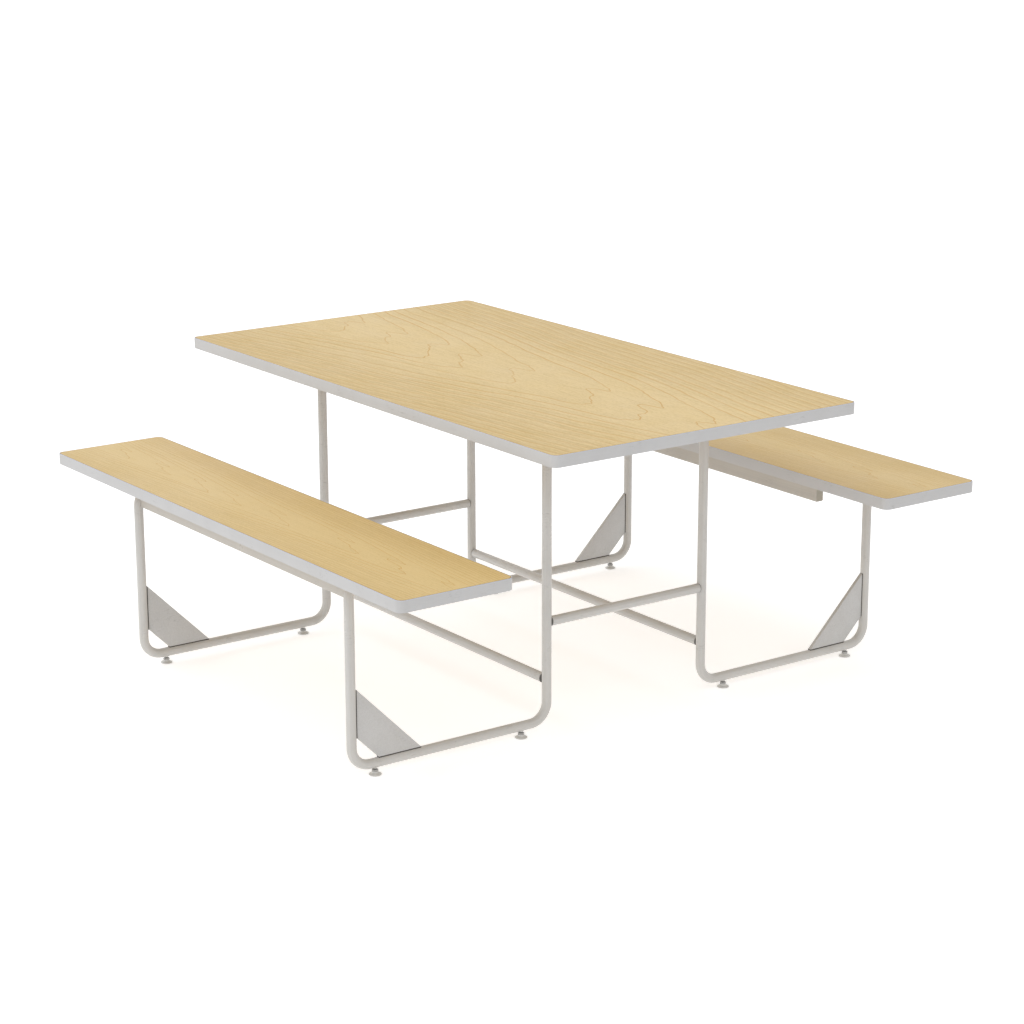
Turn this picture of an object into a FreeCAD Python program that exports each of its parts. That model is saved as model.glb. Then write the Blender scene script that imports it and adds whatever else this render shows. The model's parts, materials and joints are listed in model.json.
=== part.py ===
import FreeCAD, Part
import math
import os

# Fixed cafeteria table with two attached benches. Millimetres, +Z up.
# Origin: floor level under the middle of the table. X runs along the benches, Y across them.
# "Front" is +X, "rear" -X, "left" -Y and "right" +Y.

# ---- driving dimensions ----
TABLE_LENGTH = 1524.0        # a five foot top
TABLE_WIDTH = 844.0
TABLE_HEIGHT = 728.0         # floor to the top of the laminate
SEAT_WIDTH = 286.0
SEAT_HEIGHT = 486.5
SEAT_CENTRE_Y = 664.0        # middle of each bench from the middle of the table

CORE_THICKNESS = 25.0        # particle board
LAMINATE_THICKNESS = 0.8     # maple pattern sheet on top
BACKER_THICKNESS = 0.7       # plain balancing sheet below
BAND_THICKNESS = 1.5         # edge band, flush with both sheets
BAND_ROUNDING = 0.7
CORNER_RADIUS = 17.0

TUBE_DIAMETER = 22.2         # 7/8 inch tube
TUBE_WALL = 1.65
BEND_RADIUS = 45.0           # to the tube's centre line
FRAME_X = 468.0              # plane of each end frame
TABLE_LEG_Y = 225.0
BENCH_LEG_Y = 742.0
GLIDE_HEIGHT = 16.5          # floor to the underside of the tube
CROSS_STRETCHER_Z = 259.0
LONG_STRETCHER_Z = 124.5

RAIL_THICKNESS = 22.0        # rectangular tube rails below the boards
RAIL_HEIGHT = 56.0
RAIL_WALL = 1.6
RAIL_CORNER = 2.5            # outer corners of the rectangular tube
SEAT_INNER_RAIL_Y = 585.0    # the face of each inner rail that looks at the table

GUSSET_THICKNESS = 9.5
GUSSET_LEG = 163.0           # along each tube, from the corner of the two tubes
GUSSET_CUT = 54.0            # the corner that is cut off
SEAM_WIDTH = 8.9             # weld between a gusset's edge and the tube's round back
SEAM_HEIGHT = 1.5            # above the tube's back
END_WELD_FACE = 1.2          # flat weld that closes each stretcher's end, as wide as the stretcher
END_WELD_DEPTH = 4.0         # how far it fills the stretcher's mouth
END_WELD_PLAY = 0.05
END_WELD_ROOT_RADIUS = 5.0   # where it holds to the leg

TAB_WIDTH = 24.0             # welded ears that take the screws
TAB_SPAN = 60.0
TAB_THICKNESS = 3.0
TAB_CORNER = 4.0
SCREW_OFFSET = 21.0          # from the tube's centre line to each screw
SCREW_RADIUS = 2.5
SCREW_GRIP = 17.0            # into the board
SCREW_HEAD_RADIUS = 4.8
SCREW_HEAD_HEIGHT = 2.6
SCREW_PLAY = 0.05
SCREW_HEAD_ROUNDING = 1.4
SCREW_TIP_LENGTH = 4.0
SCREW_TIP_RADIUS = 0.5
RECESS_LENGTH = 4.6          # cross recess in each screw's head
RECESS_WIDTH = 1.0
RECESS_DEPTH = 1.6
TABLE_TAB_Y = (50.0, 130.0)
SEAT_TAB_Y = (630.0, 675.0)

GLIDE_OUTER_Y = 683.5
GLIDE_INNER_Y = 295.0
STEM_RADIUS = 3.95           # M8 screw, running in the bush
BUSH_BORE_RADIUS = 4.0
BUSH_RADIUS = 6.0
BUSH_LENGTH = 13.5
STEM_TOP_Z = 33.0
STEM_CHAMFER = 0.8
PIVOT_RADIUS = 3.0           # the screw's lower end, on which the foot turns
PIVOT_PLAY = 0.05
PIVOT_BOTTOM_Z = 3.0
FOOT_RADIUS = 14.3
FOOT_HEIGHT = 8.0
FOOT_BEVEL = 1.0
FOOT_RIM_TOP_Z = 3.3         # where the rim ends and the cone starts
FOOT_CONE_RADIUS = 8.4
FOOT_CONE_TOP_Z = 5.6
FOOT_COLLAR_RADIUS = 7.0
FOOT_COLLAR_BEVEL = 0.6
HEX_ACROSS_FLATS = 13.0
HEX_HEIGHT = 5.0
HEX_CHAMFER = 0.8

SLEEVE_LENGTH = 90.0         # joins the two arms below the table
SLEEVE_WALL = 1.5
PLUG_HEAD = 1.5
PLUG_ROUNDING = 0.9
PLUG_DEPTH = 12.0
PLUG_WALL = 1.5

# ---- values worked out from them ----
BOARD_THICKNESS = CORE_THICKNESS + LAMINATE_THICKNESS + BACKER_THICKNESS
TABLE_UNDERSIDE = TABLE_HEIGHT - BOARD_THICKNESS
SEAT_UNDERSIDE = SEAT_HEIGHT - BOARD_THICKNESS
TUBE_RADIUS = TUBE_DIAMETER / 2
TUBE_BORE_RADIUS = TUBE_RADIUS - TUBE_WALL
RUN_Z = GLIDE_HEIGHT + TUBE_RADIUS
TABLE_ARM_Z = TABLE_UNDERSIDE - TUBE_RADIUS
SEAT_ARM_Z = SEAT_UNDERSIDE - TUBE_RADIUS
RAIL_END_X = FRAME_X - TUBE_RADIUS

ENDS = (("front", 1), ("rear", -1))
SIDES = (("left", -1), ("right", 1))
GLIDE_PLACES = (("outer", GLIDE_OUTER_Y), ("inner", GLIDE_INNER_Y))


def vec(x, y, z):
    return FreeCAD.Vector(x, y, z)


def save(shape, node):
    shape.exportStep("parts/" + node + ".step")
    print(node, "solids", len(shape.Solids), "valid", shape.isValid(), "mm3", round(shape.Volume))


def box(x_span, y_span, z_span):
    corner = vec(x_span[0], y_span[0], z_span[0])
    size = [span[1] - span[0] for span in (x_span, y_span, z_span)]
    return Part.makeBox(size[0], size[1], size[2], corner)


def rod(radius, start, end):
    along = end - start
    return Part.makeCylinder(radius, along.Length, start, along)


def span_about(centre, width):
    return (centre - width / 2, centre + width / 2)


# ---- boards: core, laminate, backer and edge band ----

def rounded_slab(length, width, radius, centre_y, bottom, top):
    """A flat board with its four upright corners rounded."""
    slab = box(span_about(0, length), span_about(centre_y, width), (bottom, top))
    corners = [edge for edge in slab.Edges if abs(edge.tangentAt(edge.FirstParameter).z) > 0.99]
    return slab.makeFillet(radius, corners)


def inner_slab(length, width, centre_y, bottom, top):
    """The same outline, inside the edge band."""
    inset = 2 * BAND_THICKNESS
    return rounded_slab(length - inset, width - inset, CORNER_RADIUS - BAND_THICKNESS, centre_y, bottom, top)


def edge_band(length, width, centre_y, bottom, top):
    outer = rounded_slab(length, width, CORNER_RADIUS, centre_y, bottom, top)
    rims = [edge for edge in outer.Edges if abs(edge.tangentAt(edge.FirstParameter).z) < 0.01]
    outer = outer.makeFillet(BAND_ROUNDING, rims)
    return outer.cut(inner_slab(length, width, centre_y, bottom, top))


def save_board(name, length, width, centre_y, height, screws):
    """A laminated board, drilled from below for its screws."""
    top_of_core = height - LAMINATE_THICKNESS
    bottom_of_core = top_of_core - CORE_THICKNESS
    underside = bottom_of_core - BACKER_THICKNESS
    holes = Part.makeCompound([screw_hole(x, y, underside) for x, y in screws])
    core = inner_slab(length, width, centre_y, bottom_of_core, top_of_core)
    backer = inner_slab(length, width, centre_y, underside, bottom_of_core)
    save(core.cut(holes), name + "_core")
    save(backer.cut(holes), name + "_backer")
    save(inner_slab(length, width, centre_y, top_of_core, height), name + "_laminate")
    save(edge_band(length, width, centre_y, underside, height), name + "_edge_band")


# ---- bent tubes ----

def bent_path(points, radius):
    """Straight runs joined by tangent quarter bends, as a wire."""
    edges = []
    start = points[0]
    for before, corner, after in zip(points, points[1:], points[2:]):
        back = (before - corner).normalize()
        on = (after - corner).normalize()
        first = corner + back * radius
        last = corner + on * radius
        middle = corner + (back + on) * radius * (1 - math.sqrt(0.5))
        edges.append(Part.LineSegment(start, first).toShape())
        edges.append(Part.Arc(first, middle, last).toShape())
        start = last
    edges.append(Part.LineSegment(start, points[-1]).toShape())
    return Part.Wire(edges)


def sweep_round(path, radius, start, along):
    ring = Part.Wire([Part.makeCircle(radius, start, along)])
    return path.makePipeShell([ring], True, False)


def leg_path_points(end, side):
    """One bent tube: seat arm, bench leg, floor run, table leg and table arm."""
    x = end * FRAME_X
    return [
        vec(x, side * SEAT_INNER_RAIL_Y, SEAT_ARM_Z),
        vec(x, side * BENCH_LEG_Y, SEAT_ARM_Z),
        vec(x, side * BENCH_LEG_Y, RUN_Z),
        vec(x, side * TABLE_LEG_Y, RUN_Z),
        vec(x, side * TABLE_LEG_Y, TABLE_ARM_Z),
        vec(x, 0, TABLE_ARM_Z),
    ]


def leg_tube(end, side):
    points = leg_path_points(end, side)
    path = bent_path(points, BEND_RADIUS)
    along = points[1] - points[0]
    tube = sweep_round(path, TUBE_RADIUS, points[0], along)
    tube = tube.cut(sweep_round(path, TUBE_BORE_RADIUS, points[0], along))
    for place, y in GLIDE_PLACES:
        seat = vec(end * FRAME_X, side * y, 0)
        tube = tube.cut(rod(BUSH_RADIUS, seat, seat + vec(0, 0, RUN_Z)))
    return tube


def straight_tube(start, end):
    return rod(TUBE_RADIUS, start, end).cut(rod(TUBE_BORE_RADIUS, start, end))


def cross_stretcher(end):
    """Square-cut tube between the two table legs of an end frame, short by the welds at its ends."""
    reach = TABLE_LEG_Y - TUBE_RADIUS - END_WELD_FACE
    x = end * FRAME_X
    return straight_tube(vec(x, -reach, CROSS_STRETCHER_Z), vec(x, reach, CROSS_STRETCHER_Z))


def long_stretcher(side):
    """Square-cut tube that ties the front and rear table legs, short by the welds at its ends."""
    reach = FRAME_X - TUBE_RADIUS - END_WELD_FACE
    y = side * TABLE_LEG_Y
    return straight_tube(vec(-reach, y, LONG_STRETCHER_Z), vec(reach, y, LONG_STRETCHER_Z))


def arm_sleeve(end):
    """Inner tube that joins the left and right arms where they meet below the table."""
    x = end * FRAME_X
    half = SLEEVE_LENGTH / 2
    start = vec(x, -half, TABLE_ARM_Z)
    finish = vec(x, half, TABLE_ARM_Z)
    return rod(TUBE_BORE_RADIUS, start, finish).cut(rod(TUBE_BORE_RADIUS - SLEEVE_WALL, start, finish))


def seat_arm_plug(end, side):
    """Push-in plug that closes the open end of a seat arm."""
    mouth = vec(end * FRAME_X, side * SEAT_INNER_RAIL_Y, SEAT_ARM_Z)
    inward = vec(0, side, 0)
    head = rod(TUBE_RADIUS, mouth - inward * PLUG_HEAD, mouth)
    head = head.makeFillet(PLUG_ROUNDING, [max(head.Edges, key=lambda edge: -side * edge.CenterOfMass.y)])
    body = rod(TUBE_BORE_RADIUS, mouth, mouth + inward * PLUG_DEPTH)
    hollow = rod(TUBE_BORE_RADIUS - PLUG_WALL, mouth + inward * PLUG_WALL, mouth + inward * PLUG_DEPTH)
    return head.fuse(body.cut(hollow)).removeSplitter()


# ---- rails, gussets and tabs ----

def rail(y_span, underside):
    """Rectangular tube along the board, standing against the underside, between the end frames."""
    outer = box((-RAIL_END_X, RAIL_END_X), y_span, (underside - RAIL_HEIGHT, underside))
    outer = outer.makeFillet(RAIL_CORNER, [edge for edge in outer.Edges if abs(edge.tangentAt(0).x) > 0.99])
    bore_y = (y_span[0] + RAIL_WALL, y_span[1] - RAIL_WALL)
    bore_z = (underside - RAIL_HEIGHT + RAIL_WALL, underside - RAIL_WALL)
    return outer.cut(box((-FRAME_X, FRAME_X), bore_y, bore_z))


def rail_caps(y_span, underside):
    """Plates that close both ends of a rail, flush with it."""
    bore_y = (y_span[0] + RAIL_WALL, y_span[1] - RAIL_WALL)
    bore_z = (underside - RAIL_HEIGHT + RAIL_WALL, underside - RAIL_WALL)
    inner_x = RAIL_END_X - RAIL_WALL
    return [box(x_span, bore_y, bore_z) for x_span in ((-RAIL_END_X, -inner_x), (inner_x, RAIL_END_X))]


def mirrored_span(side, near, far):
    return tuple(sorted((side * near, side * far)))


def rail_places():
    """Each rail's name, its width across Y and the height of the board above it."""
    places = []
    for name, side in SIDES:
        inner = mirrored_span(side, SEAT_INNER_RAIL_Y, SEAT_INNER_RAIL_Y + RAIL_THICKNESS)
        outer = mirrored_span(side, BENCH_LEG_Y - RAIL_THICKNESS, BENCH_LEG_Y)
        table = mirrored_span(side, TABLE_LEG_Y - RAIL_THICKNESS, TABLE_LEG_Y)
        places.append((name + "_seat_inner_rail", inner, SEAT_UNDERSIDE))
        places.append((name + "_seat_outer_rail", outer, SEAT_UNDERSIDE))
        places.append((name + "_table_rail", table, TABLE_UNDERSIDE))
    return places


def gusset(end, side):
    """Plate in the corner between the bench leg and the floor run, with its inner corner cut off."""
    corner_y = side * (BENCH_LEG_Y - TUBE_RADIUS - SEAM_HEIGHT)
    corner_z = RUN_Z + TUBE_RADIUS + SEAM_HEIGHT
    x = end * FRAME_X - GUSSET_THICKNESS / 2
    outline = [
        vec(x, corner_y, corner_z + GUSSET_CUT),
        vec(x, corner_y, corner_z + GUSSET_LEG),
        vec(x, corner_y - side * GUSSET_LEG, corner_z),
        vec(x, corner_y - side * GUSSET_CUT, corner_z),
    ]
    face = Part.Face(Part.makePolygon(outline + outline[:1]))
    return face.extrude(vec(GUSSET_THICKNESS, 0, 0))


def gusset_seams(end, side):
    """Weld seams along the gusset's two straight edges, hollow below to sit on the round tubes."""
    x = end * FRAME_X
    corner = vec(x, side * BENCH_LEG_Y, RUN_Z)
    leg = rod(TUBE_RADIUS, corner, corner + vec(0, 0, SEAT_ARM_Z - RUN_Z))
    run = rod(TUBE_RADIUS, corner, vec(x, side * TABLE_LEG_Y, RUN_Z))
    reach = TUBE_RADIUS + SEAM_HEIGHT
    along = (reach + GUSSET_CUT, reach + GUSSET_LEG)
    x_span = span_about(x, SEAM_WIDTH)
    leg_y = mirrored_span(side, BENCH_LEG_Y - reach, BENCH_LEG_Y - TUBE_RADIUS / 2)
    run_y = mirrored_span(side, BENCH_LEG_Y - along[0], BENCH_LEG_Y - along[1])
    upright = box(x_span, leg_y, (RUN_Z + along[0], RUN_Z + along[1])).cut(leg)
    level = box(x_span, run_y, (RUN_Z + TUBE_RADIUS / 2, RUN_Z + reach)).cut(run)
    return [upright, level]


def stretcher_end_weld(leg_axis, outward):
    """Weld that closes a stretcher's mouth with a flat face and holds to the round leg beyond it."""
    face = leg_axis - outward * TUBE_RADIUS
    mouth = face - outward * END_WELD_FACE
    up = vec(0, 0, TUBE_DIAMETER)
    plug = rod(TUBE_BORE_RADIUS - END_WELD_PLAY, mouth - outward * END_WELD_DEPTH, mouth)
    root = rod(END_WELD_ROOT_RADIUS, face, leg_axis).cut(rod(TUBE_RADIUS, leg_axis - up, leg_axis + up))
    return rod(TUBE_RADIUS, mouth, face).fuse([plug, root]).removeSplitter()


def stretcher_end_welds():
    welds = []
    for _, end in ENDS:
        for _, side in SIDES:
            for height, outward in ((CROSS_STRETCHER_Z, vec(0, side, 0)), (LONG_STRETCHER_Z, vec(end, 0, 0))):
                leg_axis = vec(end * FRAME_X, side * TABLE_LEG_Y, height)
                welds.append(stretcher_end_weld(leg_axis, outward))
    return welds


def tab_places(side, tab_ys):
    return [(end * FRAME_X, side * y) for _, end in ENDS for y in tab_ys]


def screw_places(tabs):
    return [(x + step, y) for x, y in tabs for step in (-SCREW_OFFSET, SCREW_OFFSET)]


def tab_pair(x, y, underside):
    """Two ears, one on each side of an arm, coped to its round back."""
    plate = box(span_about(x, TAB_SPAN), span_about(y, TAB_WIDTH), (underside - TAB_THICKNESS, underside))
    upright = [edge for edge in plate.Edges if abs(edge.tangentAt(edge.FirstParameter).z) > 0.99]
    plate = plate.makeFillet(TAB_CORNER, upright)
    arm_z = underside - TUBE_RADIUS
    plate = plate.cut(rod(TUBE_RADIUS, vec(x, y - TAB_WIDTH, arm_z), vec(x, y + TAB_WIDTH, arm_z)))
    for screw_x in (x - SCREW_OFFSET, x + SCREW_OFFSET):
        foot = vec(screw_x, y, underside - 2 * TAB_THICKNESS)
        plate = plate.cut(rod(SCREW_RADIUS + SCREW_PLAY, foot, foot + vec(0, 0, 3 * TAB_THICKNESS)))
    return plate


# ---- fasteners ----

def screw_hole(x, y, underside):
    foot = vec(x, y, underside - TAB_THICKNESS)
    return rod(SCREW_RADIUS + SCREW_PLAY, foot, foot + vec(0, 0, TAB_THICKNESS + SCREW_GRIP + SCREW_PLAY))


def screw(x, y, underside):
    """Pan-head wood screw with a cross recess, driven up through a tab."""
    seat = vec(x, y, underside - TAB_THICKNESS)
    head = rod(SCREW_HEAD_RADIUS, seat - vec(0, 0, SCREW_HEAD_HEIGHT), seat)
    head = head.makeFillet(SCREW_HEAD_ROUNDING, [min(head.Edges, key=lambda edge: edge.CenterOfMass.z)])
    tip_foot = seat + vec(0, 0, TAB_THICKNESS + SCREW_GRIP - SCREW_TIP_LENGTH)
    shank = rod(SCREW_RADIUS, seat, tip_foot)
    tip = Part.makeCone(SCREW_RADIUS, SCREW_TIP_RADIUS, SCREW_TIP_LENGTH, tip_foot)
    head_bottom = seat.z - SCREW_HEAD_HEIGHT
    depth = (head_bottom - RECESS_DEPTH, head_bottom + RECESS_DEPTH)
    long_x = box(span_about(x, RECESS_LENGTH), span_about(y, RECESS_WIDTH), depth)
    long_y = box(span_about(x, RECESS_WIDTH), span_about(y, RECESS_LENGTH), depth)
    return head.fuse([shank, tip]).cut(long_x.fuse(long_y)).removeSplitter()


# ---- levelling glides ----

def glide_centre(end, side, y):
    return vec(end * FRAME_X, side * y, 0)


def glide_bush(end, side, y):
    """Threaded bush welded into the floor run."""
    foot = glide_centre(end, side, y) + vec(0, 0, GLIDE_HEIGHT)
    top = foot + vec(0, 0, BUSH_LENGTH)
    return rod(BUSH_RADIUS, foot, top).cut(rod(BUSH_BORE_RADIUS, foot, top))


def glide_foot(end, side, y):
    """Flared round foot: a thick rim, a cone and a socket for the screw's lower end."""
    socket_radius = PIVOT_RADIUS + PIVOT_PLAY
    profile = [
        (0, 0),
        (FOOT_RADIUS - FOOT_BEVEL, 0),
        (FOOT_RADIUS, FOOT_BEVEL),
        (FOOT_RADIUS, FOOT_RIM_TOP_Z - FOOT_BEVEL),
        (FOOT_RADIUS - FOOT_BEVEL, FOOT_RIM_TOP_Z),
        (FOOT_CONE_RADIUS, FOOT_CONE_TOP_Z),
        (FOOT_COLLAR_RADIUS, FOOT_HEIGHT - FOOT_COLLAR_BEVEL),
        (FOOT_COLLAR_RADIUS - FOOT_COLLAR_BEVEL, FOOT_HEIGHT),
        (socket_radius, FOOT_HEIGHT),
        (socket_radius, PIVOT_BOTTOM_Z),
        (0, PIVOT_BOTTOM_Z),
        (0, 0),
    ]
    face = Part.Face(Part.makePolygon([vec(r, 0, z) for r, z in profile]))
    foot = face.revolve(vec(0, 0, 0), vec(0, 0, 1), 360)
    foot.translate(glide_centre(end, side, y))
    return foot


def glide_stem(end, side, y):
    """Levelling screw: pivot, hexagon for the spanner and the M8 screw."""
    base = glide_centre(end, side, y)
    hex_top = FOOT_HEIGHT + HEX_HEIGHT
    corner_radius = HEX_ACROSS_FLATS / math.sqrt(3)
    corners = []
    for k in range(7):
        turn = math.radians(60 * k)
        corners.append(base + vec(corner_radius * math.cos(turn), corner_radius * math.sin(turn), FOOT_HEIGHT))
    hexagon = Part.Face(Part.makePolygon(corners)).extrude(vec(0, 0, HEX_HEIGHT))
    # a steep cone whose top is narrower than the corners takes a small chamfer off each of them
    foot_of_hex = base + vec(0, 0, FOOT_HEIGHT)
    top_radius = corner_radius - HEX_CHAMFER
    cone = Part.makeCone(top_radius + HEX_HEIGHT, top_radius, HEX_HEIGHT, foot_of_hex)
    pivot = rod(PIVOT_RADIUS, base + vec(0, 0, PIVOT_BOTTOM_Z), base + vec(0, 0, FOOT_HEIGHT))
    thread = rod(STEM_RADIUS, base + vec(0, 0, hex_top), base + vec(0, 0, STEM_TOP_Z))
    thread = thread.makeChamfer(STEM_CHAMFER, [max(thread.Edges, key=lambda edge: edge.CenterOfMass.z)])
    return hexagon.common(cone).fuse([pivot, thread]).removeSplitter()


# ---- the whole assembly ----

def save_boards():
    table_screws = screw_places(tab_places(-1, TABLE_TAB_Y) + tab_places(1, TABLE_TAB_Y))
    save_board("table", TABLE_LENGTH, TABLE_WIDTH, 0, TABLE_HEIGHT, table_screws)
    for name, side in SIDES:
        seat_screws = screw_places(tab_places(side, SEAT_TAB_Y))
        save_board(name + "_seat", TABLE_LENGTH, SEAT_WIDTH, side * SEAT_CENTRE_Y, SEAT_HEIGHT, seat_screws)


def save_frame():
    for end_name, end in ENDS:
        save(cross_stretcher(end), end_name + "_cross_stretcher")
        save(arm_sleeve(end), end_name + "_arm_sleeve")
        for side_name, side in SIDES:
            corner = end_name + "_" + side_name
            save(leg_tube(end, side), corner + "_leg_tube")
            save(gusset(end, side), corner + "_gusset")
    caps = []
    for name, y_span, underside in rail_places():
        save(rail(y_span, underside), name)
        caps += rail_caps(y_span, underside)
    save(Part.makeCompound(caps), "rail_end_caps")
    for name, side in SIDES:
        save(long_stretcher(side), name + "_long_stretcher")
    seams = [seam for _, end in ENDS for _, side in SIDES for seam in gusset_seams(end, side)]
    save(Part.makeCompound(seams), "gusset_weld_seams")
    save(Part.makeCompound(stretcher_end_welds()), "stretcher_end_welds")
    plugs = [seat_arm_plug(end, side) for _, end in ENDS for _, side in SIDES]
    save(Part.makeCompound(plugs), "seat_arm_plugs")


def save_fixings():
    for name, tabs, underside in (
        ("table", tab_places(-1, TABLE_TAB_Y) + tab_places(1, TABLE_TAB_Y), TABLE_UNDERSIDE),
        ("left_seat", tab_places(-1, SEAT_TAB_Y), SEAT_UNDERSIDE),
        ("right_seat", tab_places(1, SEAT_TAB_Y), SEAT_UNDERSIDE),
    ):
        save(Part.makeCompound([tab_pair(x, y, underside) for x, y in tabs]), name + "_tabs")
        screws = [screw(x, y, underside) for x, y in screw_places(tabs)]
        save(Part.makeCompound(screws), name + "_screws")


def save_glides():
    bushes = []
    for end_name, end in ENDS:
        for side_name, side in SIDES:
            for place, y in GLIDE_PLACES:
                name = "_".join((end_name, side_name, place))
                bushes.append(glide_bush(end, side, y))
                save(glide_foot(end, side, y), name + "_glide_foot")
                save(glide_stem(end, side, y), name + "_glide_stem")
    save(Part.makeCompound(bushes), "glide_bushes")


os.makedirs("parts", exist_ok=True)
save_boards()
save_frame()
save_fixings()
save_glides()
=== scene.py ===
# %% [markdown]
# # A canteen table with two fixed benches
#
# This notebook dresses a finished construction model. The maple pattern top and the two benches sit on
# bent steel tubes, and everything stands on eight levelling glides. The construction gives each part its
# place and size, so the frame is loaded first and every measure below is read from it. Numbers that only
# concern the looks, such as the width of a bevel, are named where they are first needed.

# %% Load the construction
import json
import math

import bmesh
import bpy
from mathutils import Matrix, Vector


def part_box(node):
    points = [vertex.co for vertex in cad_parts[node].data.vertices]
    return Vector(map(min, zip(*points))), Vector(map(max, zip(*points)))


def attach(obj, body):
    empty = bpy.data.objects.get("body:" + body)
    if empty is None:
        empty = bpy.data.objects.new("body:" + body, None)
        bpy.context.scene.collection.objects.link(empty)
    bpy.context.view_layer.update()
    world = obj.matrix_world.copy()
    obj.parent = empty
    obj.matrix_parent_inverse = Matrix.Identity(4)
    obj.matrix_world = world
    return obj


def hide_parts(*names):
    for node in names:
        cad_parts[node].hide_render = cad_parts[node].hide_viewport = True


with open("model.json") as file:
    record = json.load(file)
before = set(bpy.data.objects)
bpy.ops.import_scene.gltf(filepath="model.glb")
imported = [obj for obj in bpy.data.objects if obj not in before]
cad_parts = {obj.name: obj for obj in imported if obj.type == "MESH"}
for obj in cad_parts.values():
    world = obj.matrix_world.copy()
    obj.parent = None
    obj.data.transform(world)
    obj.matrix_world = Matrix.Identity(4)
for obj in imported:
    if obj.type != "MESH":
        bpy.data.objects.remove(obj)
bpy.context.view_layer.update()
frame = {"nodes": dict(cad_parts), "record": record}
MM = 0.001
ENDS = (("front", 1), ("rear", -1))
SIDES = (("left", -1), ("right", 1))

# %% [markdown]
# ## Measures
#
# A box round a part tells most of what is needed. The tube's radius is half the thickness of a
# stretcher, the height of the floor run is the middle of the lowest stretch of the leg tube, and the
# boards' outlines are the boxes of their edge bands. Reading them here keeps the looks in step with the
# construction when a measure changes there.

# %% Read the measures
stretcher_low, stretcher_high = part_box("front_cross_stretcher")
leg_low, leg_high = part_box("front_right_leg_tube")
rail_low, rail_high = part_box("right_seat_inner_rail")
outer_rail_low, outer_rail_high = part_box("right_seat_outer_rail")
TUBE_RADIUS = (stretcher_high.z - stretcher_low.z) / 2
FRAME_X = (stretcher_high.x + stretcher_low.x) / 2
TABLE_LEG_Y = stretcher_high.y + TUBE_RADIUS
BENCH_LEG_Y = outer_rail_high.y
ARM_END_Y = rail_low.y
RUN_Z = leg_low.z + TUBE_RADIUS
TABLE_ARM_Z = leg_high.z - TUBE_RADIUS
SEAT_ARM_Z = rail_high.z - TUBE_RADIUS
TUBE_WALL = 1.65 * MM
BEND_RADIUS = 45 * MM
print("tube", round(2 * TUBE_RADIUS / MM, 2), "mm across, end frames at x", round(FRAME_X, 3), "m")

# %% [markdown]
# ## Helpers for making pieces
#
# Every new piece is made in a bmesh, which is Blender's editable mesh. `finish_piece` turns it into an
# object: it smooths the faces but keeps edges that turn sharply, ties the piece to the part of the
# construction that carries it, and hides the plain part it stands for. A smooth tube and a crisp
# cut end can then live in one mesh.

# %% Turn a bmesh into a piece
SHARP_ANGLE = math.radians(32)


def finish_piece(name, bm, body, slot, material, *replaced):
    mesh = bpy.data.meshes.new(name)
    bm.to_mesh(mesh)
    bm.free()
    mesh.shade_smooth()
    mesh.set_sharp_from_angle(angle=SHARP_ANGLE)
    mesh.materials.append(material)
    piece = bpy.data.objects.new(name, mesh)
    bpy.context.scene.collection.objects.link(piece)
    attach(piece, body)
    if replaced:
        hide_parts(*replaced)
    return piece


def point_outwards(bm):
    bmesh.ops.remove_doubles(bm, verts=bm.verts, dist=0.001 * MM)
    bmesh.ops.recalc_face_normals(bm, faces=bm.faces)


def bevel_edges(bm, edges, width, segments):
    bmesh.ops.bevel(bm, geom=edges, offset=width, offset_type="OFFSET", affect="EDGES",
                    segments=segments, profile=0.5, material=-1, clamp_overlap=True)


print("pieces keep edges that turn more than", round(math.degrees(SHARP_ANGLE)), "degrees")

# %% [markdown]
# ## Helpers for making materials
#
# A procedural material is a small calculation that runs at every point of the surface. Written node by
# node it gets long, so these helpers each add one node and hand back its output. A value may be a plain
# number or the output of an earlier node.

# %% Node helpers
def put(tree, socket, value):
    if isinstance(value, bpy.types.NodeSocket):
        tree.links.new(value, socket)
    else:
        socket.default_value = value


def calc(tree, operation, *values, clamp=False):
    node = tree.nodes.new("ShaderNodeMath")
    node.operation = operation
    node.use_clamp = clamp
    for socket, value in zip(node.inputs, values):
        put(tree, socket, value)
    return node.outputs[0]


def vector_calc(tree, operation, first, second):
    node = tree.nodes.new("ShaderNodeVectorMath")
    node.operation = operation
    put(tree, node.inputs[0], first)
    put(tree, node.inputs[1], second)
    return node.outputs[0]


def split(tree, vector):
    node = tree.nodes.new("ShaderNodeSeparateXYZ")
    put(tree, node.inputs[0], vector)
    return node.outputs


def join(tree, x, y, z):
    node = tree.nodes.new("ShaderNodeCombineXYZ")
    for socket, value in zip(node.inputs, (x, y, z)):
        put(tree, socket, value)
    return node.outputs[0]


def remap(tree, value, low, high, to_low=0.0, to_high=1.0, kind="LINEAR"):
    node = tree.nodes.new("ShaderNodeMapRange")
    node.interpolation_type = kind
    for socket, number in zip(node.inputs, (value, low, high, to_low, to_high)):
        put(tree, socket, number)
    return node.outputs[0]


def noise(tree, vector, scale=1.0, detail=2.0, roughness=0.5, distortion=0.0):
    node = tree.nodes.new("ShaderNodeTexNoise")
    put(tree, node.inputs["Vector"], vector)
    node.inputs["Scale"].default_value = scale
    node.inputs["Detail"].default_value = detail
    node.inputs["Roughness"].default_value = roughness
    node.inputs["Distortion"].default_value = distortion
    return node.outputs[0]


def cells(tree, vector, scale, feature="F1"):
    node = tree.nodes.new("ShaderNodeTexVoronoi")
    node.feature = feature
    put(tree, node.inputs["Vector"], vector)
    node.inputs["Scale"].default_value = scale
    return node.outputs["Distance"]


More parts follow.
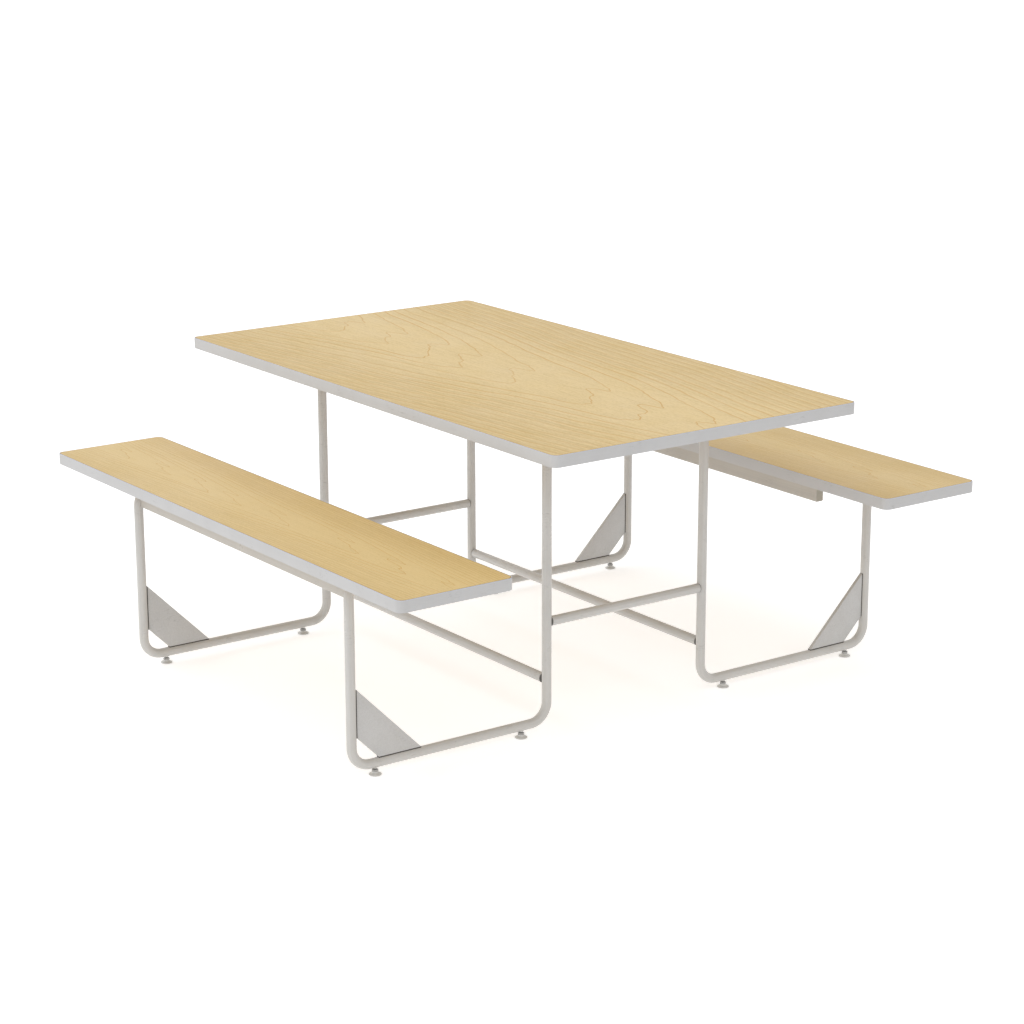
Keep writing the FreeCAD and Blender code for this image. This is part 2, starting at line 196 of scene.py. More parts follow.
def blend_colours(tree, amount, first, second, kind="MIX"):
    node = tree.nodes.new("ShaderNodeMix")
    node.data_type = "RGBA"
    node.blend_type = kind
    put(tree, node.inputs["Factor"], amount)
    put(tree, node.inputs["A"], first)
    put(tree, node.inputs["B"], second)
    return next(socket for socket in node.outputs if socket.type == "RGBA")


def bump(tree, height, depth, strength=1.0):
    node = tree.nodes.new("ShaderNodeBump")
    node.inputs["Strength"].default_value = strength
    node.inputs["Distance"].default_value = depth
    put(tree, node.inputs["Height"], height)
    return node.outputs[0]


def object_point(tree):
    return tree.nodes.new("ShaderNodeTexCoord").outputs["Object"]


def new_material(name, roughness=0.5, metallic=0.0, specular=0.5):
    material = bpy.data.materials.new(name)
    material.use_nodes = True
    tree = material.node_tree
    shader = tree.nodes["Principled BSDF"]
    shader.inputs["Roughness"].default_value = roughness
    shader.inputs["Metallic"].default_value = metallic
    shader.inputs["Specular IOR Level"].default_value = specular
    return material, tree, shader


def new_group(name, inputs, outputs):
    """A shader node group. The sockets are given as name: default, or as name: None for a vector."""
    group = bpy.data.node_groups.new(name, "ShaderNodeTree")
    for way, sockets in (("INPUT", inputs), ("OUTPUT", outputs)):
        for title, default in sockets.items():
            kind = "NodeSocketVector" if default is None else "NodeSocketFloat"
            socket = group.interface.new_socket(title, in_out=way, socket_type=kind)
            if default is not None:
                socket.default_value = default
    start = group.nodes.new("NodeGroupInput")
    end = group.nodes.new("NodeGroupOutput")
    return group, start.outputs, end.inputs


def use_group(tree, group, **values):
    node = tree.nodes.new("ShaderNodeGroup")
    node.node_tree = group
    for title, value in values.items():
        put(tree, node.inputs[title.replace("_", " ")], value)
    return node.outputs


print("node helpers ready")

# %% [markdown]
# ## Maple figure
#
# The top is a sheet printed like plain sawn maple. A saw that cuts a log along its side meets the year
# rings at a slant. Down the middle of the board they show as arches, one inside the next, and towards
# both sides they run almost straight. Such a figure could be painted by hand. It is easier to think of
# the ring number as a height over the board: the arches are that height's contour lines.
#
# The height rises along the board and with the square of the distance from its middle, and a curve adds
# the teeth that maple arches have at their tips. `maple_height` is that height. `maple_figure` then takes
# it at three points close together. The differences tell how steep the height is, and with the steepness
# each contour line gets an even width, however near its neighbours are.

# %% Group: ring height over a board
RING_SPACING = 0.2           # metres between the tips of neighbouring arches
ARCH_SPREAD = 0.042          # the larger, the blunter the arches
ARCH_STRAIGHT = 0.19         # distance from the middle past which the arches' legs run straight
ARCH_MIDDLE = -0.022         # the line across the board that the arches follow
ARCH_FLAT = 0.038            # half the width in which only the teeth shape the tips
TOOTH_REACH = 0.3            # metres of the board that the teeth's curve covers, tip to tip
TOOTH_SPAN = 0.34            # width of the zone that the teeth's curve covers
# from one side of that zone to the other: place across it, then reach along the board (0.5 is none)
TOOTH_CURVE = ((0.0, 0.5), (0.10, 0.52), (0.19, 0.74), (0.27, 0.88), (0.33, 0.84), (0.43, 0.66),
               (0.53, 0.52), (0.60, 0.40), (0.68, 0.60), (0.73, 0.56), (0.85, 0.5), (1.0, 0.5))
FIRST_TIP = -0.672           # where along the board the first arch has its tip
RING_ZONE = (-0.89, 0.81)      # the stretch in which the arches come early, as in a slow year's growth
# from one end of that stretch to the other: place along it, then how many rings early (0.5 is none)
RING_CURVE = ((0.0, 0.5), (0.13, 0.5), (0.24, 0.60), (0.34, 0.68), (0.43, 0.95), (0.54, 0.95), (0.71, 0.52),
              (0.83, 0.46), (1.0, 0.5))


def float_curve(tree, value, points):
    node = tree.nodes.new("ShaderNodeFloatCurve")
    curve = node.mapping.curves[0]
    curve.points[0].location = points[0]
    curve.points[1].location = points[-1]
    for x, y in points[1:-1]:
        curve.points.new(x, y)
    node.mapping.update()
    put(tree, node.inputs["Value"], value)
    return node.outputs[0]


def build_maple_height():
    group, given, result = new_group("maple_height", {"Point": None}, {"Height": 0.0})
    x, y, _ = split(group, given["Point"])
    slow = noise(group, join(group, calc(group, "MULTIPLY", x, 2.3), 3.7, 0.0), detail=1.0)
    ragged = noise(group, join(group, calc(group, "MULTIPLY", x, 7.0), calc(group, "MULTIPLY", y, 24.0), 1.3),
                   detail=2.0, roughness=0.55)
    sway = calc(group, "MULTIPLY", calc(group, "SUBTRACT", slow, 0.5), 0.06)
    across = calc(group, "ADD", calc(group, "SUBTRACT", y, ARCH_MIDDLE), sway)
    beyond = calc(group, "MAXIMUM", calc(group, "SUBTRACT", calc(group, "ABSOLUTE", across), ARCH_FLAT), 0.0)
    share = calc(group, "DIVIDE", beyond, ARCH_STRAIGHT)
    bend = calc(group, "SQRT", calc(group, "ADD", calc(group, "MULTIPLY", share, share), 1.0))
    arch = calc(group, "MULTIPLY", calc(group, "SUBTRACT", bend, 1.0), 2 * ARCH_STRAIGHT ** 2 / ARCH_SPREAD)
    place = remap(group, across, -TOOTH_SPAN / 2, TOOTH_SPAN / 2)
    reach = calc(group, "SUBTRACT", float_curve(group, place, TOOTH_CURVE), 0.5)
    size = remap(group, noise(group, join(group, calc(group, "MULTIPLY", x, 3.1), 9.2, 0.0), detail=0.0),
                 0.3, 0.7, 0.55, 1.25)
    teeth = calc(group, "MULTIPLY", calc(group, "MULTIPLY", reach, TOOTH_REACH), size)
    wander = calc(group, "MULTIPLY", calc(group, "SUBTRACT", ragged, 0.5), 0.085)
    along = calc(group, "SUBTRACT", calc(group, "ADD", calc(group, "ADD", x, arch), wander), teeth)
    rings = calc(group, "DIVIDE", calc(group, "SUBTRACT", along, FIRST_TIP), RING_SPACING)
    early = float_curve(group, remap(group, along, *RING_ZONE), RING_CURVE)
    group.links.new(calc(group, "SUBTRACT", calc(group, "ADD", rings, early), 0.5), result["Height"])
    return group


maple_height = build_maple_height()
print("arches about every", RING_SPACING, "m")

# %% Group: the lines, bands and fibres of the figure
LINE_HALF_WIDTH = 2.6 * MM
PROBE_STEP = 0.5 * MM


def contour_lines(tree, height, slope_x, slope_y, per_ring, half_width):
    """An even line wherever the height passes one of per_ring steps a ring, and the step's number."""
    steps = calc(tree, "MULTIPLY", height, per_ring)
    part = calc(tree, "FRACT", steps)
    gap = calc(tree, "MINIMUM", part, calc(tree, "SUBTRACT", 1.0, part))
    steep = calc(tree, "SQRT", calc(tree, "ADD", calc(tree, "MULTIPLY", slope_x, slope_x),
                                    calc(tree, "MULTIPLY", slope_y, slope_y)))
    away = calc(tree, "DIVIDE", gap, calc(tree, "MULTIPLY", steep, per_ring))
    line = remap(tree, away, half_width, 0.0, kind="SMOOTHSTEP")
    return line, calc(tree, "ROUND", steps), part


def random_by_number(tree, number):
    node = tree.nodes.new("ShaderNodeTexWhiteNoise")
    node.noise_dimensions = "1D"
    put(tree, node.inputs["W"], number)
    return node.outputs["Value"]


def build_maple_figure():
    group, given, result = new_group("maple_figure", {"Point": None},
                                     {"Line": 0.0, "Streak": 0.0, "Band": 0.0, "Fibre": 0.0, "Fleck": 0.0,
                                      "Cloud": 0.0, "Side": 0.0})
    point = given["Point"]
    here = use_group(group, maple_height, Point=point)["Height"]
    heights = []
    for step in ((PROBE_STEP, 0, 0), (0, PROBE_STEP, 0)):
        moved = use_group(group, maple_height, Point=vector_calc(group, "ADD", point, step))["Height"]
        heights.append(calc(group, "DIVIDE", calc(group, "SUBTRACT", moved, here), PROBE_STEP))
    from_middle = calc(group, "ABSOLUTE", split(group, point)[1])
    width = remap(group, from_middle, 0.08, 0.26, LINE_HALF_WIDTH, LINE_HALF_WIDTH * 2)
    line, number, part = contour_lines(group, here, *heights, 1.0, width)
    fine, fine_number, _ = contour_lines(group, here, *heights, 2.0, width)
    boldness = remap(group, random_by_number(group, number), 0.0, 1.0, 0.65, 1.0)
    patchy = noise(group, vector_calc(group, "MULTIPLY", point, (5.0, 14.0, 1.0)), detail=1.0)
    bold = calc(group, "MULTIPLY", line, calc(group, "MULTIPLY", boldness, remap(group, patchy, 0.3, 0.6, 0.55, 1.0)))
    group.links.new(calc(group, "MULTIPLY", bold, remap(group, from_middle, 0.10, 0.28, 1.0, 0.35)), result["Line"])
    to_side = remap(group, from_middle, 0.08, 0.26, 0.15, 1.0)
    faint = calc(group, "MULTIPLY", fine, calc(group, "MULTIPLY", to_side, random_by_number(group, fine_number)))
    group.links.new(faint, result["Streak"])
    group.links.new(calc(group, "POWER", part, 2.2), result["Band"])
    fibre = noise(group, vector_calc(group, "MULTIPLY", point, (12.0, 260.0, 1.0)), detail=4.0, roughness=0.7)
    group.links.new(fibre, result["Fibre"])
    flecks = cells(group, vector_calc(group, "MULTIPLY", point, (95.0, 330.0, 1.0)), 1.0)
    group.links.new(remap(group, flecks, 0.6, 0.1), result["Fleck"])
    cloud = noise(group, vector_calc(group, "MULTIPLY", point, (2.2, 6.0, 1.0)), detail=3.0, roughness=0.55)
    group.links.new(cloud, result["Cloud"])
    group.links.new(remap(group, from_middle, 0.03, 0.40, kind="SMOOTHSTEP"), result["Side"])
    return group


maple_figure = build_maple_figure()
print("line width", 2 * LINE_HALF_WIDTH / MM, "mm")

# %% [markdown]
# ## Distance from a board's rim
#
# The sheet's brown core shows as a thin line where its edge is trimmed, and a board's rim gets more wear
# than its middle. Both need to know how far a point is from the board's outline. The outline is a
# rectangle with rounded corners, for which that distance is a short formula.

# %% Group: depth inside a rounded rectangle
def build_rim_depth():
    group, given, result = new_group("rim_depth", {"Point": None, "Half length": 1.0, "Half width": 1.0,
                                                   "Middle": 0.0, "Corner": 0.02}, {"Depth": 0.0})
    x, y, _ = split(group, given["Point"])
    reach = []
    for value, half in ((x, given["Half length"]), (calc(group, "SUBTRACT", y, given["Middle"]), given["Half width"])):
        reach.append(calc(group, "SUBTRACT", calc(group, "ABSOLUTE", value),
                          calc(group, "SUBTRACT", half, given["Corner"])))
    out = [calc(group, "MAXIMUM", value, 0.0) for value in reach]
    round_part = calc(group, "SQRT", calc(group, "ADD", calc(group, "MULTIPLY", out[0], out[0]),
                                          calc(group, "MULTIPLY", out[1], out[1])))
    flat_part = calc(group, "MINIMUM", calc(group, "MAXIMUM", reach[0], reach[1]), 0.0)
    group.links.new(calc(group, "SUBTRACT", calc(group, "SUBTRACT", given["Corner"], round_part), flat_part),
                    result["Depth"])
    return group


rim_depth = build_rim_depth()
print("rim depth group ready")

# %% [markdown]
# ## The laminate
#
# The laminate takes the figure in both of its colours: a pale maple ground and an orange brown line. The
# ground darkens a little towards each ring's line, fibres and flecks break it up, and slow clouds vary
# it over the board. The benches carry the same print squeezed to their width, so a Mapping node centres
# and stretches the point before it reaches the figure.

# %% Material: maple laminate
MAPLE_LIGHT = (0.785, 0.588, 0.272, 1.0)
MAPLE_DEEP = (0.600, 0.420, 0.155, 1.0)
MAPLE_LINE = (0.590, 0.285, 0.020, 1.0)
KRAFT_EDGE = (0.360, 0.190, 0.060, 1.0)
table_low, table_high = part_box("table_edge_band")
FIGURE_WIDTH = table_high.y - table_low.y
BOARD_CORNER = 17 * MM
BAND_THICKNESS = table_high.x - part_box("table_laminate")[1].x
RIM_LINE = 1.3 * MM
# painted shade: how much deeper the ground gets towards each board's sides, so that its middle looks lit
SIDE_PAINTED_SHADE = {"table": 0.32, "left_seat": 0.16, "right_seat": 0.24}
# painted light and shade: how much deeper each board's ground is than the table's; the right bench is darker as if in
# the table's shadow, the left bench paler as if lit
BOARD_PAINTED_LIGHT_AND_SHADE = {"table": 0.0, "left_seat": -0.12, "right_seat": 0.21}


def maple_laminate(board):
    low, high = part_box(board + "_laminate")
    material, tree, shader = new_material(board + "_maple", roughness=0.45, specular=0.25)
    point = object_point(tree)
    mapping = tree.nodes.new("ShaderNodeMapping")
    squeeze = FIGURE_WIDTH / (high.y - low.y)
    middle = (low.y + high.y) / 2
    mapping.inputs["Scale"].default_value = (1.0, squeeze, 1.0)
    mapping.inputs["Location"].default_value = (0.0, -middle * squeeze, 0.0)
    tree.links.new(point, mapping.inputs["Vector"])
    figure = use_group(tree, maple_figure, Point=mapping.outputs[0])
    depth = use_group(tree, rim_depth, Point=point, Half_length=high.x, Half_width=(high.y - low.y) / 2,
                      Middle=middle, Corner=BOARD_CORNER)["Depth"]
    band_depth = calc(tree, "ADD", 0.12, calc(tree, "MULTIPLY", figure["Side"], 0.25))
    # the ground deepens towards the sides and differs per board: painted shade, and painted light on the left bench
    tone = calc(tree, "ADD", calc(tree, "MULTIPLY", figure["Band"], band_depth),
                calc(tree, "ADD", calc(tree, "MULTIPLY", figure["Side"], SIDE_PAINTED_SHADE[board]), BOARD_PAINTED_LIGHT_AND_SHADE[board]))
    tone = calc(tree, "ADD", tone, calc(tree, "MULTIPLY", remap(tree, figure["Cloud"], 0.35, 0.65), 0.10))
    tone = calc(tree, "ADD", tone, calc(tree, "MULTIPLY", remap(tree, figure["Fibre"], 0.3, 0.7, -1.0, 1.0), 0.38))
    tone = calc(tree, "ADD", tone, calc(tree, "MULTIPLY", figure["Fleck"], 0.46))
    tone = calc(tree, "ADD", tone, calc(tree, "MULTIPLY", figure["Streak"], 0.48))
    ground = blend_colours(tree, calc(tree, "MAXIMUM", calc(tree, "MINIMUM", tone, 1.0), 0.0), MAPLE_LIGHT, MAPLE_DEEP)
    lined = blend_colours(tree, calc(tree, "MULTIPLY", figure["Line"], 0.85), ground, MAPLE_LINE)
    rim = remap(tree, depth, RIM_LINE * 1.4, RIM_LINE * 0.6)
    tree.links.new(blend_colours(tree, rim, lined, KRAFT_EDGE), shader.inputs["Base Color"])
    worn = noise(tree, point, scale=9.0, detail=4.0, roughness=0.65)
    gloss = calc(tree, "ADD", remap(tree, worn, 0.3, 0.7, 0.36, 0.46), calc(tree, "MULTIPLY", figure["Line"], 0.05))
    tree.links.new(gloss, shader.inputs["Roughness"])
    pores = noise(tree, vector_calc(tree, "MULTIPLY", point, (500.0, 2200.0, 1.0)), detail=2.0)
    relief = calc(tree, "SUBTRACT", calc(tree, "ADD", pores, figure["Fibre"]), figure["Line"])
    tree.links.new(bump(tree, relief, 0.03 * MM, 0.5), shader.inputs["Normal"])
    return material


BOARDS = ("table", "left_seat", "right_seat")
laminates = {board: maple_laminate(board) for board in BOARDS}
print("laminate on", ", ".join(BOARDS))

# %% [markdown]
# ## Effects that several finishes share
#
# `skin` is a fine pebbled surface with a slow drift in tone, as powder coat, moulded plastic and zinc
# have at different scales. `scuffs` adds small scuffs, and dust that gathers near the floor.

# %% Group: pebbled skin and grime
def build_skin():
    group, given, result = new_group("skin", {"Point": None, "Grain size": 0.001}, {"Pebble": 0.0, "Drift": 0.0})
    scaled = vector_calc(group, "DIVIDE", given["Point"],
                         join(group, given["Grain size"], given["Grain size"], given["Grain size"]))
    pebble = noise(group, scaled, detail=2.0, roughness=0.6)
    drift = noise(group, given["Point"], scale=11.0, detail=4.0, roughness=0.6)
    group.links.new(pebble, result["Pebble"])
    group.links.new(drift, result["Drift"])
    return group


DUST_SHARE = 0.3


def build_scuffs():
    group, given, result = new_group("scuffs", {"Point": None, "Amount": 0.5}, {"Scuff": 0.0, "Dust": 0.0})
    patches = noise(group, given["Point"], scale=16.0, detail=5.0, roughness=0.7)
    threads = noise(group, vector_calc(group, "MULTIPLY", given["Point"], (60.0, 60.0, 260.0)), detail=3.0,
                    roughness=0.7, distortion=0.6)
    both = calc(group, "MULTIPLY", remap(group, patches, 0.52, 0.68), remap(group, threads, 0.54, 0.66))
    group.links.new(calc(group, "MULTIPLY", both, given["Amount"]), result["Scuff"])
    low = remap(group, split(group, given["Point"])[2], 0.22, 0.0)
    soft = noise(group, given["Point"], scale=30.0, detail=3.0)
    dusty = calc(group, "MULTIPLY", calc(group, "MULTIPLY", low, soft), DUST_SHARE)
    group.links.new(calc(group, "MULTIPLY", dusty, given["Amount"]), result["Dust"])
    return group


skin = build_skin()
scuffs = build_scuffs()
print("shared effects:", skin.name, "and", scuffs.name)

# %% [markdown]
# ## The other finishes
#
# The frame is powder coated in a light grey. Powder melts into a skin like orange peel, so the bump is soft
# and the gloss mild. Faint streaks along each tube are painted reflection: they stand for the banded
# reflections of a glossy tube. An object coordinate that is stretched along the tube makes them. A leg tube
# bends, but it stays in one upright plane, so streaks that only depend on X follow it round every bend. The
# rails, their end caps and the corner plates take darker copies of the same paint, which are painted shade.
# The boards' edge band is extruded plastic: it has faint drag lines along its length and picks up small
# scuffs. Its deeper tone on the benches is painted shade, and the bluish line along its top rim is a painted
# highlight. The balancing sheet below each board is plain brown kraft laminate.

# %% Material: powder coated steel
PAINT = (0.600, 0.591, 0.573, 1.0)
PAINT_DEEP = (0.515, 0.504, 0.482, 1.0)
# painted shade: a darker, more neutral copy of the frame paint for the corner plates
SHADED_PLATE_PAINT = (0.565, 0.562, 0.558, 1.0)
SHADED_PLATE_PAINT_DEEP = (0.485, 0.480, 0.470, 1.0)
# painted shade: a darker, browner copy of the frame paint for the rails in the shade under the boards
SHADED_RAIL_PAINT = (0.530, 0.504, 0.460, 1.0)
SHADED_RAIL_PAINT_DEEP = (0.480, 0.454, 0.411, 1.0)
# painted shade: a darker, browner copy of the frame paint for the rails' end caps
SHADED_CAP_PAINT = (0.406, 0.383, 0.325, 1.0)
SHADED_CAP_PAINT_DEEP = (0.366, 0.343, 0.288, 1.0)
DUST = (0.420, 0.370, 0.300, 1.0)
SCUFF_GREY = (0.300, 0.290, 0.270, 1.0)


REFLECTION_STREAK_ACROSS = 320.0         # how fine the painted reflection streaks are across a tube, and how slowly they change along it
REFLECTION_STREAK_ALONG = 1.5
ALONG_X = (REFLECTION_STREAK_ALONG, REFLECTION_STREAK_ACROSS, REFLECTION_STREAK_ACROSS)
ALONG_Y = (REFLECTION_STREAK_ACROSS, REFLECTION_STREAK_ALONG, REFLECTION_STREAK_ACROSS)
ALONG_A_BENT_TUBE = (REFLECTION_STREAK_ACROSS, REFLECTION_STREAK_ALONG, REFLECTION_STREAK_ALONG)


def frame_paint(name, reflection_streak_way, pale=PAINT, deep=PAINT_DEEP):
    material, tree, shader = new_material(name, roughness=0.4)
    point = object_point(tree)
    peel = use_group(tree, skin, Point=point, Grain_size=1.3 * MM)
    wear = use_group(tree, scuffs, Point=point, Amount=0.5)
    # painted reflection: lengthwise streaks that stand for the banded reflections on a glossy tube
    reflection_streaks = noise(tree, vector_calc(tree, "MULTIPLY", point, reflection_streak_way), detail=2.0, roughness=0.6)
    tone = calc(tree, "ADD", calc(tree, "MULTIPLY", remap(tree, peel["Drift"], 0.35, 0.75), 0.45),
                calc(tree, "MULTIPLY", remap(tree, reflection_streaks, 0.35, 0.65), 0.55))
    colour = blend_colours(tree, tone, pale, deep)
    colour = blend_colours(tree, wear["Dust"], colour, DUST)
    colour = blend_colours(tree, wear["Scuff"], colour, SCUFF_GREY)
    tree.links.new(colour, shader.inputs["Base Color"])
    gloss = calc(tree, "ADD", remap(tree, peel["Drift"], 0.3, 0.7, 0.26, 0.36),
                 calc(tree, "MULTIPLY", wear["Dust"], 0.3))
    tree.links.new(gloss, shader.inputs["Roughness"])
    tree.links.new(bump(tree, peel["Pebble"], 0.05 * MM, 0.6), shader.inputs["Normal"])
    return material


# %% Material: edge band
BAND = (0.572, 0.570, 0.572, 1.0)
BAND_DEEP = (0.530, 0.525, 0.523, 1.0)
# painted highlight: a bluish line along the band's top rim
BAND_RIM_HIGHLIGHT = (0.560, 0.610, 0.720, 1.0)
# painted shade: how far each board's band is from the pale tone towards the deep one, deeper on the benches
BAND_PAINTED_SHADE = {"table": 0.0, "left_seat": 0.3, "right_seat": 0.9}


def edge_band(board):
    low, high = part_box(board + "_edge_band")
    material, tree, shader = new_material(board + "_edge_band", roughness=0.45)
    point = object_point(tree)
    grain = use_group(tree, skin, Point=point, Grain_size=0.6 * MM)
    wear = use_group(tree, scuffs, Point=point, Amount=0.45)
    drag = noise(tree, vector_calc(tree, "MULTIPLY", point, (5.0, 5.0, 1800.0)), detail=2.0)
    tone = calc(tree, "ADD", calc(tree, "MULTIPLY", remap(tree, grain["Drift"], 0.3, 0.7), 0.7),
                calc(tree, "MULTIPLY", remap(tree, drag, 0.3, 0.7), 0.3))
    # each board's band is moved towards the deep tone: painted shade
    colour = blend_colours(tree, calc(tree, "ADD", tone, BAND_PAINTED_SHADE[board]), BAND, BAND_DEEP)
    # painted highlight: the band's top rim turns bluish
    rim = remap(tree, split(tree, point)[2], high.z - 1.6 * MM, high.z - 0.5 * MM)
    colour = blend_colours(tree, calc(tree, "MULTIPLY", rim, 0.8), colour, BAND_RIM_HIGHLIGHT)
    tree.links.new(blend_colours(tree, wear["Scuff"], colour, SCUFF_GREY), shader.inputs["Base Color"])
    tree.links.new(remap(tree, drag, 0.3, 0.7, 0.4, 0.5), shader.inputs["Roughness"])
    relief = calc(tree, "ADD", grain["Pebble"], calc(tree, "MULTIPLY", drag, 0.6))
    tree.links.new(bump(tree, relief, 0.04 * MM, 0.5), shader.inputs["Normal"])
    return material


# %% Material: balancing sheet and particle board
KRAFT = (0.580, 0.410, 0.200, 1.0)
KRAFT_DEEP = (0.490, 0.335, 0.150, 1.0)
CHIP_LIGHT = (0.580, 0.430, 0.260, 1.0)
CHIP_DARK = (0.330, 0.210, 0.110, 1.0)


def backer_sheet():
    material, tree, shader = new_material("backer_sheet", roughness=0.6, specular=0.35)
    point = object_point(tree)
    paper = use_group(tree, skin, Point=point, Grain_size=0.9 * MM)
    threads = noise(tree, vector_calc(tree, "MULTIPLY", point, (60.0, 900.0, 60.0)), detail=3.0)
    tone = calc(tree, "ADD", calc(tree, "MULTIPLY", paper["Drift"], 0.6), calc(tree, "MULTIPLY", threads, 0.5))
    tree.links.new(blend_colours(tree, tone, KRAFT, KRAFT_DEEP), shader.inputs["Base Color"])
    tree.links.new(bump(tree, calc(tree, "ADD", paper["Pebble"], threads), 0.04 * MM, 0.5), shader.inputs["Normal"])
    return material


def particle_board():
    material, tree, shader = new_material("particle_board", roughness=0.85, specular=0.2)
    point = object_point(tree)
    chips = cells(tree, vector_calc(tree, "MULTIPLY", point, (330.0, 330.0, 900.0)), 1.0)
    colour = blend_colours(tree, remap(tree, chips, 0.1, 0.8), CHIP_LIGHT, CHIP_DARK)
    tree.links.new(colour, shader.inputs["Base Color"])
    tree.links.new(bump(tree, chips, 0.2 * MM, 0.5), shader.inputs["Normal"])
    return material


# %% [markdown]
# The metals come last. Zinc plating is a bright crystalline grey that dulls where it is handled, and the
# screws take a darker copy of it as painted shade under the tubes. The welds have a scaly surface, and their
# dark colour is painted shade of the narrow gaps where the plates and bar ends meet the tubes; at the bar
# ends it is a lighter grey. The plugs in the seat arms are moulded polyethylene.

# %% Material: zinc, weld and plastic
ZINC = (0.760, 0.755, 0.740, 1.0)
ZINC_DULL = (0.640, 0.632, 0.610, 1.0)
# painted shade: a darker copy of the zinc for the screws under the tubes
SHADED_SCREW_ZINC = (0.400, 0.396, 0.388, 1.0)
SHADED_SCREW_ZINC_DULL = (0.300, 0.296, 0.288, 1.0)
# painted shade: the welds' dark colour stands for the shade in the narrow gaps where plates meet the tubes
WELD_SHADE_DARK = (0.035, 0.034, 0.032, 1.0)
WELD_SHADE_BROWN = (0.085, 0.070, 0.055, 1.0)
# painted shade: a lighter grey for the welds at the bar ends, standing for the shade in the gap at each end
END_WELD_SHADE = (0.205, 0.202, 0.194, 1.0)
END_WELD_SHADE_PALE = (0.320, 0.313, 0.300, 1.0)
PLASTIC = (0.022, 0.022, 0.023, 1.0)
PLASTIC_DUSTY = (0.060, 0.058, 0.055, 1.0)


def zinc_plate(name, bright, dull):
    material, tree, shader = new_material(name, roughness=0.4, metallic=0.35)
    point = object_point(tree)
    coat = use_group(tree, skin, Point=point, Grain_size=0.8 * MM)
    wear = use_group(tree, scuffs, Point=point, Amount=0.4)
    crystals = cells(tree, point, 700.0)
    tone = calc(tree, "ADD", calc(tree, "MULTIPLY", crystals, 0.5), calc(tree, "MULTIPLY", coat["Drift"], 0.5))
    colour = blend_colours(tree, tone, bright, dull)
    tree.links.new(blend_colours(tree, wear["Dust"], colour, DUST), shader.inputs["Base Color"])
    tree.links.new(remap(tree, coat["Drift"], 0.3, 0.7, 0.34, 0.5), shader.inputs["Roughness"])
    tree.links.new(bump(tree, coat["Pebble"], 0.02 * MM, 0.5), shader.inputs["Normal"])
    return material


def weld_metal(name, dark, pale):
    material, tree, shader = new_material(name, roughness=0.55, metallic=0.3)
    point = object_point(tree)
    scale_marks = noise(tree, point, scale=900.0, detail=3.0, roughness=0.6, distortion=0.8)
    colour = blend_colours(tree, remap(tree, scale_marks, 0.4, 0.7), dark, pale)
    tree.links.new(colour, shader.inputs["Base Color"])
    tree.links.new(bump(tree, scale_marks, 0.2 * MM, 0.8), shader.inputs["Normal"])
    return material


def black_plastic():
    material, tree, shader = new_material("black_plastic", roughness=0.5)
    point = object_point(tree)
    grain = use_group(tree, skin, Point=point, Grain_size=0.5 * MM)
    colour = blend_colours(tree, remap(tree, grain["Drift"], 0.4, 0.7), PLASTIC, PLASTIC_DUSTY)
    tree.links.new(colour, shader.inputs["Base Color"])
    tree.links.new(bump(tree, grain["Pebble"], 0.03 * MM, 0.5), shader.inputs["Normal"])
    return material


finishes = {"frame_paint": frame_paint("frame_paint", ALONG_X),
            "cross_bar_paint": frame_paint("cross_bar_paint", ALONG_Y),
            "leg_paint": frame_paint("leg_paint", ALONG_A_BENT_TUBE),
            "rail_paint": frame_paint("rail_paint", ALONG_X, SHADED_RAIL_PAINT, SHADED_RAIL_PAINT_DEEP),
            "shaded_plate_paint": frame_paint("shaded_plate_paint", ALONG_X, SHADED_PLATE_PAINT, SHADED_PLATE_PAINT_DEEP),
            "shaded_cap_paint": frame_paint("shaded_cap_paint", ALONG_Y, SHADED_CAP_PAINT, SHADED_CAP_PAINT_DEEP),
            "backer_sheet": backer_sheet(), "particle_board": particle_board(),
            "zinc_plate": zinc_plate("zinc_plate", ZINC, ZINC_DULL),
            "shaded_screw_zinc": zinc_plate("shaded_screw_zinc", SHADED_SCREW_ZINC, SHADED_SCREW_ZINC_DULL),
            "weld": weld_metal("weld", WELD_SHADE_DARK, WELD_SHADE_BROWN), "black_plastic": black_plastic(),
            "end_weld_shade": weld_metal("end_weld_shade", END_WELD_SHADE, END_WELD_SHADE_PALE)}
bands = {board: edge_band(board) for board in BOARDS}
print(len(finishes) + len(bands) + len(laminates), "materials")

# %% [markdown]
# ## Dress the construction's own parts
#
# The record says which finish each part takes. The boards' laminates and bands have a material of their
# own for each board. The stretcher end welds take a lighter grey weld and the rail end caps a darker,
# browner paint, both painted shade. Every other part takes its finish straight from the record.

# %% Give every part its finish
def finish_for(node, slot):
    board = next((name for name in BOARDS if node.startswith(name)), None)
    if slot == "maple_laminate":
        return laminates[board]
    if slot == "edge_band":
        return bands[board]
    # painted shade: the stretcher end welds and the rail end caps take shaded copies
    if node == "stretcher_end_welds":
        return finishes["end_weld_shade"]
    if node == "rail_end_caps":
        return finishes["shaded_cap_paint"]
    return finishes[slot]


for row in frame["record"]["subparts"]:
    part = frame["nodes"][row["node"]]
    part.data.materials.clear()
    part.data.materials.append(finish_for(row["node"], row["material_slot"]))
print("dressed", len(frame["nodes"]), "parts")

# %% [markdown]
# ## Boards: sheet and edge band
#
# A board is a core with a laminate sheet on top and a plastic band round its edge. The construction has
# both, but on the real board the edges tell the story: the sheet is trimmed at a slant after it is glued,
# the band's long edges are scraped round, and its two ends meet in a fine joint on the rear end. A
# rounded outline starts as one rectangle whose corners are bevelled as vertices. Inset and extrude turn it
# into a ring, and an edge bevel rounds the rims. A boolean of two slabs would give the same ring with less
# even faces.

# %% Rounded outlines and slabs
CORNER_STEPS = 14


